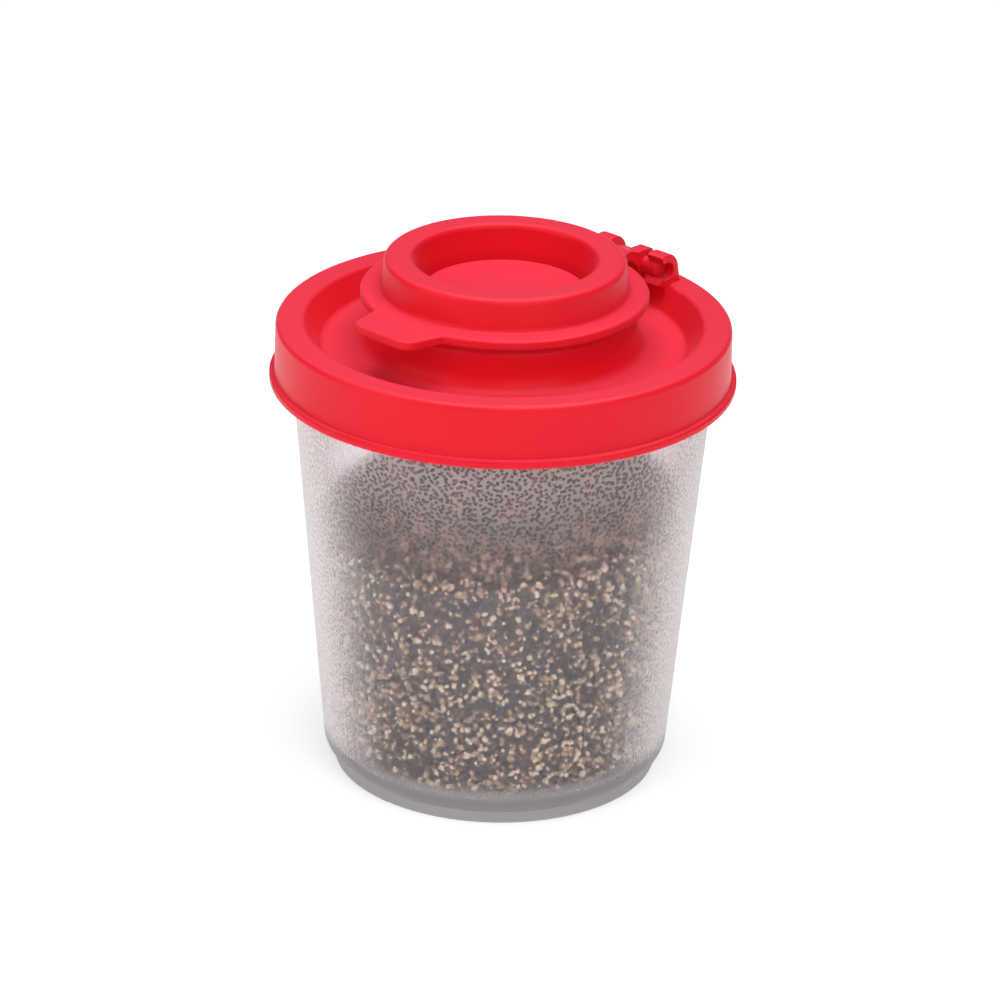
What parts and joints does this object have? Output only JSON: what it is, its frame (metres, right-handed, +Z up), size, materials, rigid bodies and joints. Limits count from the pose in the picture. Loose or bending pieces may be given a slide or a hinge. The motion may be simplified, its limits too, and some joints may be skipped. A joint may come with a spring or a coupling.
{
  "type": "spice shaker",
  "caption": "Small tapered table shaker with a press-on sprinkle lid and a hinged flip cap that closes over the holes, part filled with ground pepper.",
  "frame": {"origin": "middle of the foot ring, on the surface that the shaker stands on", "axes": "+Z up along the container's axis, -Y towards the thumb tab, +Y towards the cap's hinge, X along the hinge pin"},
  "size_m": [0.054, 0.054, 0.0631],
  "materials": {
    "container": "natural translucent, leather grain outside",
    "seal": "satin",
    "flip_cap": "satin",
    "pepper": "coarse grains"
  },
  "bodies": {
    "container": {"container": "container", "pepper_fill": "pepper"},
    "seal": {"seal": "seal"},
    "flip_cap": {"flip_cap": "flip_cap"}
  },
  "joints": [
    {"name": "lid_lift", "type": "slide", "parent": "container", "child": "seal", "axis": [0, 0, 1], "range_m": [0, 0.06]},
    {"name": "cap_hinge", "type": "hinge", "parent": "seal", "child": "flip_cap", "pos_m": [0, 0.0219, 0.057], "axis": [-1, 0, 0], "range_deg": [0, 165]}
  ]
}
